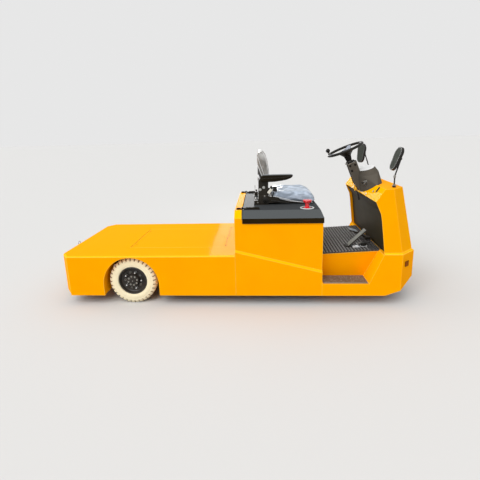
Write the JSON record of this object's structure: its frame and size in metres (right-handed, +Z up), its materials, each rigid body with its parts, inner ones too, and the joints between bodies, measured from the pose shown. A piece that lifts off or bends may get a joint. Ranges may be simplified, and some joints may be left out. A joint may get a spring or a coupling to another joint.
{
  "type": "electric tow tractor",
  "caption": "Low electric tow tractor with a flat load deck, seat box with lifting lid, step-through footwell, folded cowl, steered front wheel and driven rear wheels.",
  "frame": {"origin": "bottom centre of the box around everything, on the floor under the tyres", "axes": "+X to the front, +Y to the driver's left, +Z up"},
  "size_m": [3.21, 1.11, 1.362],
  "materials": {
    "yellow_paint": "gloss",
    "black_steel": "satin",
    "lid_paint": "satin",
    "grey_paint": "satin",
    "kick_sheet": "matt",
    "tread_sheet": "rough",
    "mat_rubber": "ribbed",
    "cream_tyre": "matt",
    "seat_cover": "smooth",
    "black_plastic": "matt",
    "red_plastic": "gloss",
    "clear_plastic": "gloss",
    "mirror_glass": "polished",
    "marker_lens": "gloss",
    "lamp_lens": "gloss",
    "bright_steel": "brushed",
    "battery_case": "satin"
  },
  "bodies": {
    "chassis": {"chassis_frame": "black_steel", "deck_plate": "yellow_paint", "deck_hatch": "yellow_paint", "deck_skirts": "yellow_paint", "rear_panel": "yellow_paint", "arch_liners": "yellow_paint", "seat_box": "yellow_paint", "hinge_leaves": "black_steel", "front_body": "yellow_paint", "step_treads": "tread_sheet", "footwell_floor": "yellow_paint", "floor_mat": "mat_rubber", "cowl_shell": "yellow_paint", "kick_panel": "kick_sheet", "steering_column": "grey_paint", "instrument_pod": "grey_paint", "dash_controls": "black_plastic", "pedals": "black_steel", "mirror_shells": "black_plastic", "mirror_glasses": "mirror_glass", "side_markers": "marker_lens", "battery_pack": "battery_case", "drive_axle": "black_steel", "drive_motor": "grey_paint", "steering_head": "black_steel", "tow_coupling": "black_steel", "headlamps": "lamp_lens", "tail_lamps": "red_plastic"},
    "rear_wheel_right": {"rear_tyre_right": "cream_tyre", "rear_rim_right": "black_steel"},
    "rear_wheel_left": {"rear_tyre_left": "cream_tyre", "rear_rim_left": "black_steel"},
    "fork": {"steer_fork": "grey_paint"},
    "front_wheel": {"front_tyre": "cream_tyre", "front_rim": "black_steel"},
    "steering_wheel": {"steering_wheel": "black_plastic"},
    "lid": {"seat_lid": "lid_paint", "lid_hinges": "black_steel", "seat_frame": "black_steel", "seat_cushion": "seat_cover", "seat_backrest": "seat_cover", "stop_button": "red_plastic", "stop_ring": "clear_plastic"},
    "armrest_right": {"armrest_right": "black_plastic"},
    "tow_pin": {"tow_pin": "bright_steel"}
  },
  "joints": [
    {"name": "rear_wheel_right_spin", "type": "hinge", "parent": "chassis", "child": "rear_wheel_right", "pos_m": [-0.836, -0.469, 0.21], "axis": [0, 1, 0], "continuous": true},
    {"name": "rear_wheel_left_spin", "type": "hinge", "parent": "chassis", "child": "rear_wheel_left", "pos_m": [-0.836, 0.469, 0.21], "axis": [0, 1, 0], "continuous": true},
    {"name": "fork_steer", "type": "hinge", "parent": "chassis", "child": "fork", "pos_m": [1.369, 0, 0.4], "axis": [0, 0, 1], "range_deg": [-70, 70]},
    {"name": "front_wheel_spin", "type": "hinge", "parent": "fork", "child": "front_wheel", "pos_m": [1.369, 0, 0.192], "axis": [0, 1, 0], "continuous": true},
    {"name": "steering_wheel_turn", "type": "hinge", "parent": "chassis", "child": "steering_wheel", "pos_m": [1.252, 0, 0.894], "axis": [-0.3746, 0, 0.9272], "range_deg": [-560, 560]},
    {"name": "lid_hinge", "type": "hinge", "parent": "chassis", "child": "lid", "pos_m": [0.147, 0, 0.838], "axis": [0, -1, 0], "range_deg": [0, 75]},
    {"name": "armrest_right_hinge", "type": "hinge", "parent": "lid", "child": "armrest_right", "pos_m": [0.33, -0.252, 1.058], "axis": [0, -1, 0], "range_deg": [0, 85]},
    {"name": "tow_pin_lift", "type": "slide", "parent": "chassis", "child": "tow_pin", "axis": [0, 0, 1], "range_m": [0, 0.11]}
  ],
  "couplings": [
    {"joint": "steering_wheel_turn", "follows": "fork_steer", "ratio": 8}
  ]
}
